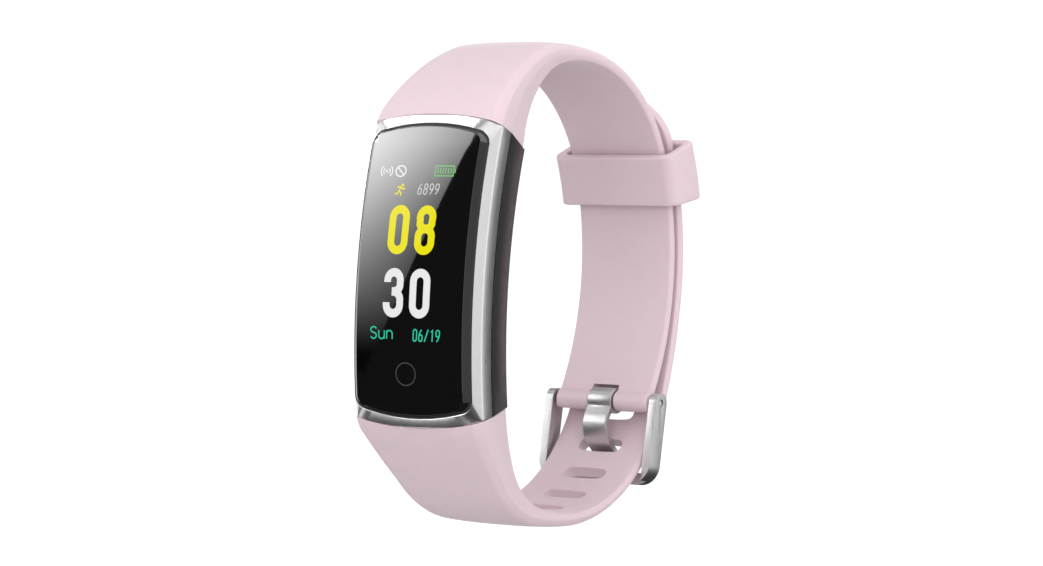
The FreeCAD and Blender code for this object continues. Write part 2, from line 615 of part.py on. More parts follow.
def build_frame():
    """A U-shaped frame drawn hanging from the origin, then leaned and set on the spring bar."""
    upright = block("frame_upper", "frame_half", "-frame_deep / 2", "frame_deep / 2", "frame_corner - frame_reach", "0")
    foot = block("frame_foot", "frame_half - frame_corner", "-frame_deep / 2", "frame_deep / 2", "-frame_reach",
                 "frame_corner - frame_reach + 0.1")
    outside = [upright, foot]
    for side in (-1, 1):
        outside.append(rod(f"frame_corner_{side}", "y", "frame_corner", "frame_deep",
                           (f"{side} * (frame_half - frame_corner)", "-frame_deep / 2",
                            "frame_corner - frame_reach")))
    outside.append(rod("frame_eye", "x", "frame_deep / 2", "2 * frame_half", ("-frame_half", 0, 0)))
    inner_half = "frame_half - frame_arm"
    window = block("frame_window", inner_half, "-frame_deep", "frame_deep",
                   "frame_bar + frame_inner_corner - frame_reach", "frame_deep")
    window_foot = block("frame_window_foot", f"{inner_half} - frame_inner_corner", "-frame_deep", "frame_deep",
                        "frame_bar - frame_reach", "frame_bar + frame_inner_corner - frame_reach + 0.1")
    inside = [window, window_foot]
    for side in (-1, 1):
        inside.append(rod(f"frame_inner_corner_{side}", "y", "frame_inner_corner", "4 * frame_deep",
                          (f"{side} * ({inner_half} - frame_inner_corner)", "-2 * frame_deep",
                           "frame_bar + frame_inner_corner - frame_reach")))
    pin = rod("frame_pin_hole", "x", "tip_radius + pin_gap", "2 * frame_half + 2", ("-frame_half - 1", 0, 0))
    thin = block("frame_thin", "frame_half - frame_arm", "-frame_deep", "frame_deep / 2 - frame_bar_deep",
                 "-frame_reach - 1", "frame_bar + frame_corner - frame_reach")
    rest = block("frame_rest", "frame_rest_half", "-frame_deep", "frame_deep",
                 "frame_bar - frame_reach - frame_rest_deep", "frame_bar - frame_reach + 0.1")
    frame = cut("frame_solid", fuse("frame_outside", outside), inside + [pin, thin, rest])
    frame.Placement = FreeCAD.Placement(Vector(0, BAR.y, BAR.z), Rotation(X_AXIS, number("frame_lean")))
    node(frame, "buckle_frame")


# middle of the prong's strip, from the eye on the bar to the tip in the rest of the frame's far bar
PRONG_WAVE = [(-1.1, 0.05), (-1.2, -0.9), (-1.85, -2.3), (-2.0, -3.5), (-1.5, -4.8), (-0.5, -5.85), (0.75, -6.85),
              (1.3, -8.0), (1.25, -9.45)]


def build_prong():
    """A waved strip: a ring round the spring bar, then down through a slot of the lower strap."""
    half_thick = number("prong_thick") / 2
    line = [Vector(0, y, z) for y, z in PRONG_WAVE]
    middle = Part.BSplineCurve()
    middle.interpolate(line)
    outer, inner = [], []
    for share in even(0, 1, 19):
        at = middle.FirstParameter + share * (middle.LastParameter - middle.FirstParameter)
        point, along = middle.value(at), middle.tangent(at)[0]
        across = Vector(0, along.z, -along.y) * half_thick
        outer.append(point + across)
        inner.append(point - across)
    front, back = Part.BSplineCurve(), Part.BSplineCurve()
    front.interpolate(outer)
    back.interpolate(inner)
    edges = [front.toShape(), Part.makeLine(outer[-1], inner[-1]), back.toShape(), Part.makeLine(inner[0], outer[0])]
    half = number("prong_half")
    strip = Part.Face(Part.Wire(Part.__sortEdges__(edges))).extrude(X_AXIS * 2 * half)
    strip.translate(Vector(-half, 0, 0))
    ring = Part.makeCylinder(number("prong_eye"), 2 * half, Vector(-half, 0, 0), X_AXIS)
    hole = Part.makeCylinder(number("bar_radius + bar_gap"), 2 * half + 2, Vector(-half - 1, 0, 0), X_AXIS)
    prong = feature("prong", ring.fuse(strip).cut(hole).removeSplitter())
    prong.Placement.Base = BAR
    node(prong, "buckle_prong")


def build_keeper():
    inner = number("upper_r_back - keeper_gap")
    outer = LAYER_RADIUS + number("strap_thick + keeper_gap")
    wall = number("keeper_wall")
    half = number("strap_half + keeper_slack")
    hole = ring_face(half, inner, outer, 0.8)
    skin = ring_face(half + wall, inner - wall, outer + wall, 1.6)
    band = skin.cut(hole)
    keeper = band.revolve(BACK_CENTRE, X_AXIS, number("keeper_sweep"))
    item = feature("keeper", keeper)
    node(turned(item, BACK_CENTRE, number("keeper_low")), "keeper_loop")


def ring_face(half, low, high, corner):
    """A rounded rectangle across the strap, between two radii of the straps' back."""
    near, far = BACK_CENTRE.y + low, BACK_CENTRE.y + high
    sides = [((-half + corner, near), (half - corner, near)), ((half, near + corner), (half, far - corner)),
             ((half - corner, far), (-half + corner, far)), ((-half, far - corner), (-half, near + corner))]
    rounds = [(half - corner, near + corner, -90), (half - corner, far - corner, 0),
              (-half + corner, far - corner, 90), (-half + corner, near + corner, 180)]
    edges = []
    for (start, end), (x, y, first) in zip(sides, rounds):
        edges.append(Part.makeLine(Vector(*start, BACK_CENTRE.z), Vector(*end, BACK_CENTRE.z)))
        edges.append(Part.makeCircle(corner, Vector(x, y, BACK_CENTRE.z), Vector(0, 0, 1), first, first + 90))
    return Part.Face(Part.Wire(edges))


# ---------------------------------------------------------------- build, check and write

build_case()
build_electronics()
build_sensor()
build_blade()
build_straps()
build_spring_bar()
build_frame()
build_prong()
build_keeper()
doc.recompute()

for item in doc.Objects:
    if "Invalid" in item.State or "Error" in item.State:
        raise RuntimeError(f"{item.Label} did not build: {item.State}")
for item in nodes:
    if item.Shape.isNull() or not item.Shape.isValid() or not item.Shape.Solids:
        raise RuntimeError(f"{item.Label} has no valid solid")

os.makedirs("parts", exist_ok=True)
for item in nodes:
    item.Shape.exportStep(f"parts/{item.Label}.step")
    box = item.Shape.BoundBox
    print(f"{item.Label:22s} {item.Shape.Volume:9.2f} mm3, {len(item.Shape.Solids)} solid(s), "
          f"X {box.XMin:.2f}..{box.XMax:.2f}  Y {box.YMin:.2f}..{box.YMax:.2f}  Z {box.ZMin:.2f}..{box.ZMax:.2f}")
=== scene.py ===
import json
from math import asin, atan2, cos, degrees, pi, radians, sin, sqrt

import bmesh
import bpy
from mathutils import Matrix, Vector


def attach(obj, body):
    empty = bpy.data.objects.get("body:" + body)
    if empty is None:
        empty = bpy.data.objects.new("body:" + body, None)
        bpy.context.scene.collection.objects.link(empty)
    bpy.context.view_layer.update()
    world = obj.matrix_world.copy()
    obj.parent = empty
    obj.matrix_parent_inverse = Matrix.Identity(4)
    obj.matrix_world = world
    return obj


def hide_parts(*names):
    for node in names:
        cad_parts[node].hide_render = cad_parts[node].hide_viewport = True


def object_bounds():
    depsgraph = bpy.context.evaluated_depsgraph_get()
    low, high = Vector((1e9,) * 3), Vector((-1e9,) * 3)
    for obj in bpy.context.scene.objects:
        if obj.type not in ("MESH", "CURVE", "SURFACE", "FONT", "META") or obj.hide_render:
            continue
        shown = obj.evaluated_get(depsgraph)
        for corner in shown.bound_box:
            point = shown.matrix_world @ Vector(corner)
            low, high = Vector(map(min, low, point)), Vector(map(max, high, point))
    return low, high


# Looks for the fitness tracker band. Shapes are worked out in millimetres and degrees and written
# in metres, in the CAD's own frame: +Z up along the display, which faces -Y, and +X across the strap.
MM = 0.001

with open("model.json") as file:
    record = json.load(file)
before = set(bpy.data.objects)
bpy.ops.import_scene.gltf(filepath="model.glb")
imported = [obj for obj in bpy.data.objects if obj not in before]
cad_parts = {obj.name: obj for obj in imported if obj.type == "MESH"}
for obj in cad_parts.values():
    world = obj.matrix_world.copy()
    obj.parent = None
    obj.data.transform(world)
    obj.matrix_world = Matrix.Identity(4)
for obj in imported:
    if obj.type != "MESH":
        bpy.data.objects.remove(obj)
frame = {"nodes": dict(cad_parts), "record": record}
cad_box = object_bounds()
nodes = frame["nodes"]
BODY_OF = {n: body for body, members in frame["record"]["behaviour"]["bodies"].items() for n in members}
SLOT_OF = {part["node"]: part["material_slot"] for part in frame["record"]["subparts"]}


# ---------------------------------------------------------------- materials

NOISE_SPAN = (0.3, 0.7)  # nearly all of a noise texture's values lie between these
GRAIN_SCALE = 9000
GRAIN_STRENGTH = 0.5
MOULDED_SPAN = (0.88, 1.12)  # share of a surface's roughness that it varies between
METAL_SPAN = (0.9, 1.12)


def shader(name, colour, roughness, **sockets):
    """A Principled material; colour and the sockets are constants set on the shader itself."""
    material = bpy.data.materials.new(name)
    material.use_nodes = True
    principled = material.node_tree.nodes["Principled BSDF"]
    principled.inputs["Base Color"].default_value = (*colour, 1)
    principled.inputs["Roughness"].default_value = roughness
    for socket, value in sockets.items():
        principled.inputs[socket.replace("_", " ")].default_value = value
    return material


def noise(material, scale, stretch=(1, 1, 1)):
    """A noise texture in the piece's own coordinates, in features per metre."""
    tree = material.node_tree
    where = tree.nodes.new("ShaderNodeTexCoord")
    mapping = tree.nodes.new("ShaderNodeMapping")
    mapping.inputs["Scale"].default_value = stretch
    texture = tree.nodes.new("ShaderNodeTexNoise")
    texture.inputs["Scale"].default_value = scale
    texture.inputs["Detail"].default_value = 3.0
    tree.links.new(where.outputs["Object"], mapping.inputs["Vector"])
    tree.links.new(mapping.outputs["Vector"], texture.inputs["Vector"])
    return texture


def grain(material, depth):
    """Fine relief; depth is in metres."""
    tree = material.node_tree
    texture = noise(material, GRAIN_SCALE)
    bump = tree.nodes.new("ShaderNodeBump")
    bump.inputs["Strength"].default_value = GRAIN_STRENGTH
    bump.inputs["Distance"].default_value = depth
    tree.links.new(texture.outputs["Fac"], bump.inputs["Height"])
    tree.links.new(bump.outputs["Normal"], tree.nodes["Principled BSDF"].inputs["Normal"])


def spread(material, texture, socket, low, high):
    """Vary a number socket with a texture."""
    tree = material.node_tree
    ramp = tree.nodes.new("ShaderNodeMapRange")
    ramp.inputs["From Min"].default_value, ramp.inputs["From Max"].default_value = NOISE_SPAN
    ramp.inputs["To Min"].default_value, ramp.inputs["To Max"].default_value = low, high
    tree.links.new(texture.outputs["Fac"], ramp.inputs["Value"])
    tree.links.new(ramp.outputs["Result"], tree.nodes["Principled BSDF"].inputs[socket])


def mottle(material, texture, dark, light):
    """Vary the base colour between two near shades with a texture."""
    tree = material.node_tree
    ramp = tree.nodes.new("ShaderNodeValToRGB")
    for element, position, colour in zip(ramp.color_ramp.elements, NOISE_SPAN, (dark, light)):
        element.position, element.color = position, (*colour, 1)
    tree.links.new(texture.outputs["Fac"], ramp.inputs["Fac"])
    tree.links.new(ramp.outputs["Color"], tree.nodes["Principled BSDF"].inputs["Base Color"])


def shades(colour, amount):
    """A darker and a lighter shade of a colour."""
    return [tuple(min(1.0, c * (1 + sign * amount)) for c in colour) for sign in (-1, 1)]


def plain(name, colour, roughness, variation=0.05, scale=900, depth=8e-6, **sockets):
    """A moulded or cast surface: faint mottling, varied roughness and a fine grain."""
    material = shader(name, colour, roughness, **sockets)
    coarse = noise(material, scale)
    mottle(material, coarse, *shades(colour, variation))
    spread(material, coarse, "Roughness", *(roughness * share for share in MOULDED_SPAN))
    grain(material, depth)
    return material


def brushed(name, colour, roughness, stretch):
    """Satin metal, finished along one direction: long fine marks in its roughness."""
    material = shader(name, colour, roughness, Metallic=1.0)
    marks = noise(material, GRAIN_SCALE, stretch)
    spread(material, marks, "Roughness", *(roughness * share for share in METAL_SPAN))
    mottle(material, noise(material, 700), *shades(colour, 0.02))
    return material


def emits(material, colour, strength):
    principled = material.node_tree.nodes["Principled BSDF"]
    principled.inputs["Emission Color"].default_value = (*colour, 1)
    principled.inputs["Emission Strength"].default_value = strength


def glow(name, colour, strength):
    """A lit shape of the clock face, with a glossy surface like the lens round it."""
    dull = tuple(0.04 * c for c in colour)
    material = shader(name, dull, 0.3, Coat_Weight=0.6, Coat_Roughness=0.02, Specular_IOR_Level=0.0)
    emits(material, colour, strength)
    mottle(material, noise(material, 6000), *shades(dull, 0.06))
    return material


PINK = (0.62, 0.488, 0.53)
MATERIALS = {
    "clear_lens": shader("clear_lens", (0.0022, 0.0022, 0.0026), 0.015, IOR=2.2),
    "satin_silver": brushed("satin_silver", (0.83, 0.83, 0.84), 0.3, (1, 1, 0.04)),
    "black_case": plain("black_case", (0.02, 0.02, 0.021), 0.36, 0.12, Specular_IOR_Level=0.22),
    "black_rubber": plain("black_rubber", (0.02, 0.02, 0.02), 0.7),
    "pink_silicone": plain("pink_silicone", PINK, 0.5, 0.012, 700, 5e-6,
                           Sheen_Weight=0.25, Sheen_Roughness=0.4,
                           Subsurface_Weight=0.12, Subsurface_Scale=0.0012),
    "satin_steel": brushed("satin_steel", (0.66, 0.66, 0.665), 0.42, (0.05, 1, 1)),
    "screw_steel": brushed("screw_steel", (0.6, 0.6, 0.62), 0.2, (1, 0.1, 1)),
    "sensor_glass": plain("sensor_glass", (0.012, 0.008, 0.012), 0.08, 0.2,
                          Coat_Weight=0.6, Coat_Roughness=0.04),
    "circuit_board": plain("circuit_board", (0.02, 0.12, 0.06), 0.35, 0.2),
    "chip_black": plain("chip_black", (0.02, 0.02, 0.022), 0.5, 0.15),
    "ceramic_white": plain("ceramic_white", (0.75, 0.73, 0.68), 0.45),
    "led_green": plain("led_green", (0.25, 0.7, 0.3), 0.15),
    "display_glass": plain("display_glass", (0.01, 0.01, 0.012), 0.1, 0.1),
    "tray_white": plain("tray_white", (0.7, 0.7, 0.7), 0.5),
    "flex_film": plain("flex_film", (0.5, 0.24, 0.06), 0.35, 0.1),
    "battery_foil": brushed("battery_foil", (0.7, 0.7, 0.72), 0.3, (1, 1, 0.2)),
    "adhesive_film": plain("adhesive_film", (0.06, 0.06, 0.06), 0.6),
    "wire_red": plain("wire_red", (0.45, 0.03, 0.03), 0.35),
    "gold_pad": brushed("gold_pad", (0.85, 0.62, 0.28), 0.22, (1, 0.2, 1)),
    "motor_steel": brushed("motor_steel", (0.6, 0.6, 0.6), 0.28, (1, 0.1, 1)),
    "tungsten": brushed("tungsten", (0.32, 0.32, 0.34), 0.4, (1, 1, 1)),
}
spread(MATERIALS["clear_lens"], noise(MATERIALS["clear_lens"], 300), "Roughness", 0.01, 0.02)

for name, item in nodes.items():
    for holder in item.material_slots:
        holder.material = MATERIALS[SLOT_OF[name]]


# ---------------------------------------------------------------- mesh helpers

MERGE = 1e-7  # metres
SHARP = 35  # degrees


def finish_mesh(mesh, sharp=SHARP):
    """Outward normals, smooth shading and creases where faces meet at more than an angle."""
    work = bmesh.new()
    work.from_mesh(mesh)
    bmesh.ops.remove_doubles(work, verts=work.verts, dist=MERGE)
    bmesh.ops.dissolve_degenerate(work, edges=work.edges, dist=MERGE)
    bmesh.ops.recalc_face_normals(work, faces=work.faces)
    work.to_mesh(mesh)
    work.free()
    mesh.polygons.foreach_set("use_smooth", [True] * len(mesh.polygons))
    mesh.set_sharp_from_angle(angle=radians(sharp))


def mesh_of(name, points, faces):
    """A mesh from points in millimetres."""
    mesh = bpy.data.meshes.new(name)
    mesh.from_pydata([[c * MM for c in p] for p in points], [], faces)
    return mesh


def linked(name, data):
    """A new object in the scene."""
    obj = bpy.data.objects.new(name, data)
    bpy.context.scene.collection.objects.link(obj)
    return obj


def settle(name, mesh, body, slot, replaces=(), material=None):
    """Make a mesh a piece of the model, riding on a body and standing for CAD nodes."""
    obj = linked(name, mesh)
    mesh.materials.clear()
    mesh.materials.append(material or MATERIALS[slot])
    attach(obj, body)
    if replaces:
        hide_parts(*replaces)
    return obj


def piece(name, points, faces, body, slot, replaces=(), material=None, sharp=SHARP):
    """A new piece from points in millimetres."""
    mesh = mesh_of(name, points, faces)
    finish_mesh(mesh, sharp)
    return settle(name, mesh, body, slot, replaces, material)


def applied(obj):
    """Replace an object's mesh by what its modifiers make of it."""
    graph = bpy.context.evaluated_depsgraph_get()
    mesh = bpy.data.meshes.new_from_object(obj.evaluated_get(graph))
    obj.modifiers.clear()
    obj.data = mesh
    return mesh


def tube_of_rings(rings, closed=False, caps=True):
    """Faces that join equal rings of points one to the next."""
    count = len(rings[0])
    points = [p for ring in rings for p in ring]
    faces = []
    last = len(rings) if closed else len(rings) - 1
    for i in range(last):
        a, b = i * count, (i + 1) % len(rings) * count
        for j in range(count):
            k = (j + 1) % count
            faces.append((a + j, a + k, b + k, b + j))
    if caps and not closed:
        faces.append(tuple(reversed(range(count))))
        faces.append(tuple(range(len(points) - count, len(points))))
    return points, faces


WELD, FLATTEN = 2e-6, 0.8  # metres, degrees
EDGE_ANGLE, SOFT_SHARP = 32, 40  # degrees


def softened(node, width, segments):
    """A copy of a CAD node's surface with its edges rounded over, standing for that node."""
    mesh = nodes[node].data.copy()
    for layer in [a for a in mesh.attributes if a.name == "custom_normal"]:
        mesh.attributes.remove(layer)
    work = bmesh.new()
    work.from_mesh(mesh)
    bmesh.ops.remove_doubles(work, verts=work.verts, dist=WELD)
    bmesh.ops.dissolve_limit(work, angle_limit=radians(FLATTEN), verts=work.verts, edges=work.edges)
    work.to_mesh(mesh)
    work.free()
    obj = settle(node + "_shown", mesh, BODY_OF[node], SLOT_OF[node], [node])
    bevel = obj.modifiers.new("round", "BEVEL")
    bevel.width, bevel.segments = width * MM, segments
    bevel.limit_method, bevel.angle_limit = "ANGLE", radians(EDGE_ANGLE)
    bevel.miter_outer = "MITER_ARC"
    finish_mesh(applied(obj), SOFT_SHARP)


def even(first, last, count):
    """Evenly spaced numbers, with both ends."""
    return [first + (last - first) * step / (count - 1) for step in range(count)]


def mix(a, b, share):
    return a + (b - a) * share


def smooth(value):
    """Ease in and out between 0 and 1."""
    value = max(0.0, min(1.0, value))
    return value * value * (3 - 2 * value)


# ---------------------------------------------------------------- case: rounded loops on the curved front

CURVE_Y = 65.1  # the case curves about a line along X at this y, z = 0
JOINT_Y, JOINT_Z = -17.0, 16.4  # inner edge of the upper joint between case and strap
TILT = radians(16.4)  # lean of the joint planes
END_R = 47.0  # radius of the case's rounded ends
GLASS_Y = -28.8
END_REACH = JOINT_Z * cos(TILT) - (CURVE_Y - JOINT_Y) * sin(TILT)
END_STEPS, CORNER_STEPS, SIDE_STEPS = 28, 7, 30
END_CROWN = 11  # how late an end drops towards the height of its sides


def on_slab(x, y, angle):
    """A point at an angle round the case's centre of curvature; y is where its surface crosses Z = 0."""
    radius = CURVE_Y - y
    return (x, CURVE_Y - radius * cos(angle), radius * sin(angle))


def end_angle(inward, y):
    """The angle at which a surface lies a distance behind the joint plane."""
    return TILT + asin((END_REACH + inward) / (CURVE_Y - y))


def top_end(half, y_side, y_end, inset, corner, big=None):
    """(x, y, angle) along the upper end, from the right side to the left one."""
    big = big or END_R - inset
    x_mid = half - corner
    a_mid = sqrt((big - corner) ** 2 - x_mid ** 2) - inset - big
    turn = atan2(a_mid + inset + big, x_mid)
    found = []
    for step in range(CORNER_STEPS):
        angle = turn * step / CORNER_STEPS
        x = x_mid + corner * cos(angle)
        y = mix(y_end, y_side, (x / half) ** END_CROWN)
        found.append((x, y, end_angle(a_mid + corner * sin(angle), y)))
    for angle in even(turn, pi - turn, END_STEPS + 1):
        x = big * cos(angle)
        y = mix(y_end, y_side, (abs(x) / half) ** END_CROWN)
        found.append((x, y, end_angle(big * sin(angle) - inset - big, y)))
    left = [(-x, y, angle) for x, y, angle in reversed(found[:CORNER_STEPS])]
    return found + left


def slab_loop(half, y_side, y_end, inset, corner, big=None):
    """One closed loop: up the right side, over the top, down the left side and under."""
    top = top_end(half, y_side, y_end, inset, corner, big)
    limit = top[0][2]
    right = [(half, y_side, angle) for angle in even(-limit, limit, SIDE_STEPS + 1)[1:-1]]
    left = [(-x, y, -angle) for x, y, angle in right]
    bottom = [(-x, y, -angle) for x, y, angle in top]
    return [on_slab(*p) for p in right + top + left + bottom]


def slab_cap(points, faces, start, level):
    """Fill a loop with a grid that follows the curved surface."""
    y_end = level[2]
    top = top_end(*level)
    across = len(top)
    side = SIDE_STEPS - 1
    top_row = [start + side + i for i in range(across)]
    bottom_row = [start + 2 * side + across + i for i in reversed(range(across))]
    angles = even(-top[0][2], top[0][2], SIDE_STEPS + 1)
    rows = [bottom_row]
    for j, angle in enumerate(angles):
        if j == 0:
            ends = (bottom_row[0], bottom_row[-1])
        elif j == SIDE_STEPS:
            ends = (top_row[0], top_row[-1])
        else:
            ends = (start + j - 1, start + side + across + side - j)
        row = [ends[0]]
        for x, _, _ in top[1:-1]:
            points.append(on_slab(x, y_end, angle))
            row.append(len(points) - 1)
        rows.append(row + [ends[1]])
    rows.append(top_row)
    for low, high in zip(rows, rows[1:]):
        for i in range(across - 1):
            quad = [low[i], low[i + 1], high[i + 1], high[i]]
            quad = [v for k, v in enumerate(quad) if v not in quad[:k]]
            if len(quad) > 2:
                faces.append(tuple(quad))


def slab_piece(name, slot, replaces, sharp, closed, levels):
    """A piece on the case from levels: half width, y at the sides, y at the ends, how far the ends
    lie inside the joint plane, corner radius and, where it isn't END_R less that inset, end radius."""
    points, faces = tube_of_rings([slab_loop(*level) for level in levels], closed, caps=False)
    if not closed:
        size = len(points) // len(levels)
        slab_cap(points, faces, 0, levels[0])
        slab_cap(points, faces, size * (len(levels) - 1), levels[-1])
    piece(name, points, faces, "tracker", slot, replaces, sharp=sharp)


POCKET_R, FLAT_R = 31, 30  # end radii of the pocket in the bezel and of the flat of the glass
slab_piece("lens_shown", "clear_lens", ["cover_glass"], sharp=17, closed=False, levels=[
    (8.88, -27.32, -27.32, 1.22, 1.8, POCKET_R),
    (8.9, -27.36, -27.36, 1.2, 1.8, POCKET_R),
    (8.9, -28.1, -28.1, 1.2, 1.8, POCKET_R),
    (8.87, -28.16, -28.16, 1.23, 1.8, POCKET_R),
    (8.12, -28.775, -28.775, 1.76, 1.2, FLAT_R),
    (8.1, -28.79, -28.79, 1.78, 1.2, FLAT_R),
    (8.06, GLASS_Y, GLASS_Y, 1.8, 1.2, FLAT_R)])
slab_piece("lens_seal", "black_rubber", [], sharp=24, closed=True, levels=[
    (8.96, -28.04, -28.14, 1.13, 1.8, POCKET_R),
    (8.96, -28.14, -28.24, 1.13, 1.8, POCKET_R),
    (8.8, -28.25, -28.5, 1.5, 1.6, POCKET_R),
    (8.8, -28.1, -28.35, 1.5, 1.6, POCKET_R)])
slab_piece("bezel_shown", "satin_silver", ["bezel"], sharp=24, closed=True, levels=[
    (8.95, -27.5, -27.5, 1.15, 1.85, POCKET_R),
    (8.95, -28.02, -28.2, 1.15, 1.85, POCKET_R),
    (8.97, -28.08, -28.27, 1.12, 1.8, POCKET_R),
    (9.02, -28.08, -28.3, 1.05, 1.7, POCKET_R),
    (9.5, -27.14, -28.3, 0.12, 0.4),
    (9.56, -27.0, -28.27, 0.05, 0.3),
    (9.6, -26.88, -28.2, 0.01, 0.2),
    (9.59, -26.7, -28.1, 0.0, 0.15),
    (9.37, -24.74, -24.9, 0.0, 0.05),
    (9.33, -24.64, -24.64, 0.05, 0.1),
    (9.2, -24.6, -24.6, 0.15, 0.3),
    (8.1, -24.6, -24.6, 2.5, 1.5),
    (8.05, -27.15, -27.15, 2.55, 1.5),
    (8.9, -27.2, -27.2, 1.25, 1.8, POCKET_R)])


# ---------------------------------------------------------------- straps

def walk(strap, length):
    """Inner-face point and heading at a length along the strap's chain of arcs."""
    y, z = strap["start"]
    side = strap["side"]
    turn = radians(strap["heading"])
    left = length
    for radius, amount in strap["arcs"]:
        if radius is None:
            step = min(left, amount)
            y, z = y + step * sin(turn), z + side * step * cos(turn)
        else:
            step = min(left, radius * radians(amount))
            cy, cz = y + radius * cos(turn), z - side * radius * sin(turn)
            turn += step / radius
            y, z = cy - radius * cos(turn), cz + side * radius * sin(turn)
        left -= step
        if left <= 1e-9:
            break
    return y, z, turn


def chain(arcs):
    """Length of a chain of (radius, degrees) arcs and (None, length) straights."""
    return sum(amount if radius is None else radius * radians(amount) for radius, amount in arcs)


STRAP_THICK = 1.8
STRAP_MIDDLE = STRAP_THICK / 2
LAYER_RADIUS = 39.0  # inner radius of the lower strap's layer at the back
TAPER, TAPER_POWER = 22.0, 2.1  # length over which a strap thins out, and how fast
TURN_LENGTH = 14.0  # length over which its sections turn square to it
# Corners of half a section as (x, depth): at the case and far from it, and how much of the first
# four is rounded off.
ROOT = [(7.0, 0.0), (9.3, 6.0), (9.58, 8.4), (8.95, 9.5), (4.5, 9.75)]
THIN = [(7.0, 0.0), (7.22, 0.35), (7.3, 0.75), (6.75, 1.55), (3.4, 1.8)]
ROOT_CUT, THIN_CUT = [0.5, 0.6, 0.22, 0.3], [0.16, 0.14, 0.26, 0.5]
CROWN_STEP = 1.0  # how far inside the outer corner the crowned face sets that corner's direction
UPPER = {"start": (JOINT_Y, JOINT_Z), "heading": -0.5, "side": 1,
         "arcs": [(12.5, 47.0), (8.2, 26.0), (19.4, 84.0), (37.0, 48.0), (None, 9.0)]}
LOWER = {"start": (JOINT_Y, -JOINT_Z), "heading": 9.91, "side": -1,
         "arcs": [(25.0, 16.79), (8.8, 47.94), (21.08, 90.87), (62.0, 12.57),
                  (LAYER_RADIUS, 26.2), (None, 8.6)]}
BAR_LENGTH = chain(UPPER["arcs"][:-1])
LOWER_LENGTH = chain(LOWER["arcs"])
BACK_CENTRE = (-20.2328, 1.9286)  # y and z of the centre of the back's curve
BAR = (14.2548, -13.7883)  # y and z of the spring bar
INNER_X = (0.0, 1.1, 2.2, 3.3, 4.4, 5.7)
FIRST_RING = 0.5  # length of the first ring after the one in the joint
JOINT_LAP = 0.06  # how far that one lies inside the joint's curve


def strap_frame(strap, length):
    """Inner-face point and outward direction at a length."""
    y, z, turn = walk(strap, length)
    lean = radians(degrees(TILT) - strap["heading"]) * max(0.0, 1 - length / TURN_LENGTH)
    return Vector((0, y, z)), Vector((0, -cos(turn + lean), strap["side"] * sin(turn + lean)))


def share_at(length):
    """How much of the section at the case is left at a length."""
    return max(0.0, 1 - max(0.0, length) / TAPER) ** TAPER_POWER


def corners_at(length):
    """Corners of half a section at a length, as (x, depth)."""
    share = share_at(length)
    return [(mix(tx, rx, share), mix(td, rd, share)) for (tx, td), (rx, rd) in zip(THIN, ROOT)]


def crown(x, length):
    """Depth of the strap's outer face at a distance from its middle."""
    (side_x, side), (_, top) = corners_at(length)[3:]
    return top - (top - side) * (abs(x) / side_x) ** 3


def half_ring(length):
    """(x, depth) from the middle of the inner face round the right edge to the middle of the
    outer one."""
    share = share_at(length)
    corners = corners_at(length)
    cuts = [mix(thin, root, share) for thin, root in zip(THIN_CUT, ROOT_CUT)]
    inside = corners[3][0] - CROWN_STEP
    corners[4] = (inside, crown(inside, length))
    path = [Vector((INNER_X[-1], 0.0))] + [Vector(c) for c in corners]
    ring = [(x, 0.0) for x in INNER_X]
    for i, cut in enumerate(cuts, start=1):
        before, here, after = path[i - 1], path[i], path[i + 1]
        start = here + (before - here).normalized() * cut
        end = here + (after - here).normalized() * cut
        for t in even(0, 1, 5):
            ring.append(tuple((1 - t) ** 2 * start + 2 * t * (1 - t) * here + t * t * end))
    ring += [(x, crown(x, length)) for x in reversed(INNER_X)]
    return ring


def strap_point(strap, length, x, depth):
    point, outward = strap_frame(strap, length)
    return tuple(point + Vector((x, 0, 0)) + outward * depth)


def strap_ring(strap, length, pinch=1.0, swell=None):
    """A full ring of the strap; swell is the half thickness about mid depth where it differs."""
    right = half_ring(length)
    full = right + [(-x, d) for x, d in reversed(right[1:-1])]
    point, outward = strap_frame(strap, length)
    ring = []
    for x, depth in full:
        if swell is not None:
            depth = STRAP_MIDDLE + (depth - STRAP_MIDDLE) * swell / STRAP_MIDDLE
        ring.append(tuple(point + Vector((x * pinch, 0, 0)) + outward * depth))
    return ring


def joint_ring(strap):
    """The strap's first ring, which follows the case's rounded end."""
    away = Vector((0, -sin(TILT), -strap["side"] * cos(TILT)))
    ring = []
    for p in strap_ring(strap, 0.0):
        sag = END_R - sqrt(END_R ** 2 - p[0] ** 2)
        ring.append(tuple(Vector(p) + away * (sag - JOINT_LAP)))
    return ring


ROLL_R = 1.35  # radius of the upper strap's rolled end
ROLL_STATIONS = (-1.25, -1.1, -1.0, -0.92, -0.8, -0.6, -0.35, 0.0,
                 0.35, 0.65, 0.9, 1.08, 1.2, 1.28, 1.33, 1.347)
BORE = (0.7, 9.0, 48)  # radius, half length and sides of the hole for the spring bar
NOTCH = (2.1, 2.05, 64)  # and of the gap for the prong


def build_upper():
    lengths = even(FIRST_RING, 24, 30) + even(25.2, BAR_LENGTH - 1.6, 52)
    rings = [joint_ring(UPPER)] + [strap_ring(UPPER, s) for s in lengths]
    for offset in ROLL_STATIONS:
        swell = sqrt(ROLL_R ** 2 - offset ** 2)
        if offset < 0:
            swell = max(STRAP_MIDDLE, swell)
        rings.append(strap_ring(UPPER, BAR_LENGTH + offset, 1.0, swell))
    points, faces = tube_of_rings(rings)
    obj = piece("upper_strap_shown", points, faces, "tracker", "pink_silicone", ["upper_strap"])
    carve(obj, [rod_mesh("bore", BAR, *BORE), rod_mesh("notch", BAR, *NOTCH)])


